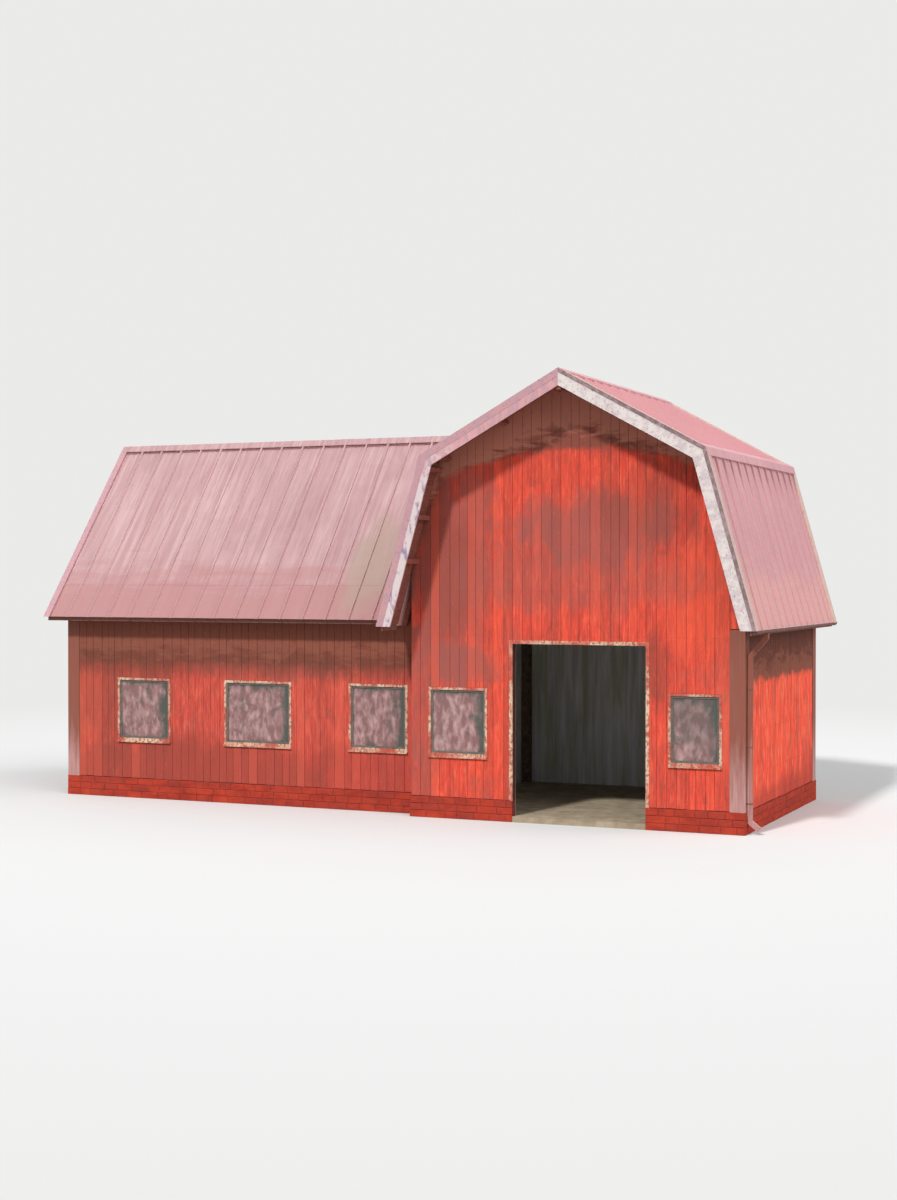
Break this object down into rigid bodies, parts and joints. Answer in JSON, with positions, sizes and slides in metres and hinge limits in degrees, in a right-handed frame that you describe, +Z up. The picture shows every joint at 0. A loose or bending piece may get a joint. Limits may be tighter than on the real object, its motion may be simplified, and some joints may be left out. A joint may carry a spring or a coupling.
{
  "type": "gambrel barn with side wing",
  "caption": "Red timber barn: a gambrel-roofed main block with an open doorway in its gable end, and a long lower wing with a pitched metal roof beside it.",
  "frame": {"origin": "on the ground, under the middle of the whole outline", "axes": "+Z up, the gable with the doorway faces -Y, the main ridge runs along Y and the wing lies on the -X side with its ridge along X"},
  "size_m": [17.2616, 7.53, 9.4093],
  "materials": {
    "plinth": "painted masonry",
    "floor": "worn concrete",
    "red_boards": "weathered paint",
    "roof_metal": "chalky paint",
    "frame_timber": "rough sawn",
    "white_trim": "weathered paint",
    "mauve_trim": "weathered paint",
    "window_glass": "dusty",
    "rainwater_metal": "weathered paint"
  },
  "bodies": {
    "root": {"foundation_ends": "plinth", "foundation_sides": "plinth", "wing_foundation_sides": "plinth", "floors": "floor", "thresholds": "floor", "front_wall_left": "red_boards", "front_wall_right": "red_boards", "front_wall_gable": "red_boards", "back_wall": "red_boards", "right_wall": "red_boards", "left_wall_front": "red_boards", "left_wall_back": "red_boards", "left_wall_over": "red_boards", "wing_front_wall": "red_boards", "wing_back_wall": "red_boards", "wing_end_wall": "red_boards", "roof_right_lower": "roof_metal", "roof_right_upper": "roof_metal", "roof_left_lower": "roof_metal", "roof_left_upper": "roof_metal", "wing_roof_front": "roof_metal", "wing_roof_back": "roof_metal", "main_roof_caps": "roof_metal", "wing_ridge_cap": "roof_metal", "valley_flashing": "roof_metal", "posts": "frame_timber", "tie_beams": "frame_timber", "braces": "frame_timber", "lower_rafters": "frame_timber", "upper_rafters": "frame_timber", "main_purlins": "frame_timber", "wing_rafters": "frame_timber", "wing_purlins": "frame_timber", "barge_boards_left": "white_trim", "barge_boards_right": "white_trim", "wing_barge_boards": "white_trim", "eave_boards": "mauve_trim", "eave_brackets": "red_boards", "corner_boards": "mauve_trim", "door_frame": "white_trim", "front_window_frames": "white_trim", "rear_window_frames": "white_trim", "window_glass": "window_glass", "gutter": "rainwater_metal", "downpipe": "rainwater_metal"}
  },
  "joints": []
}
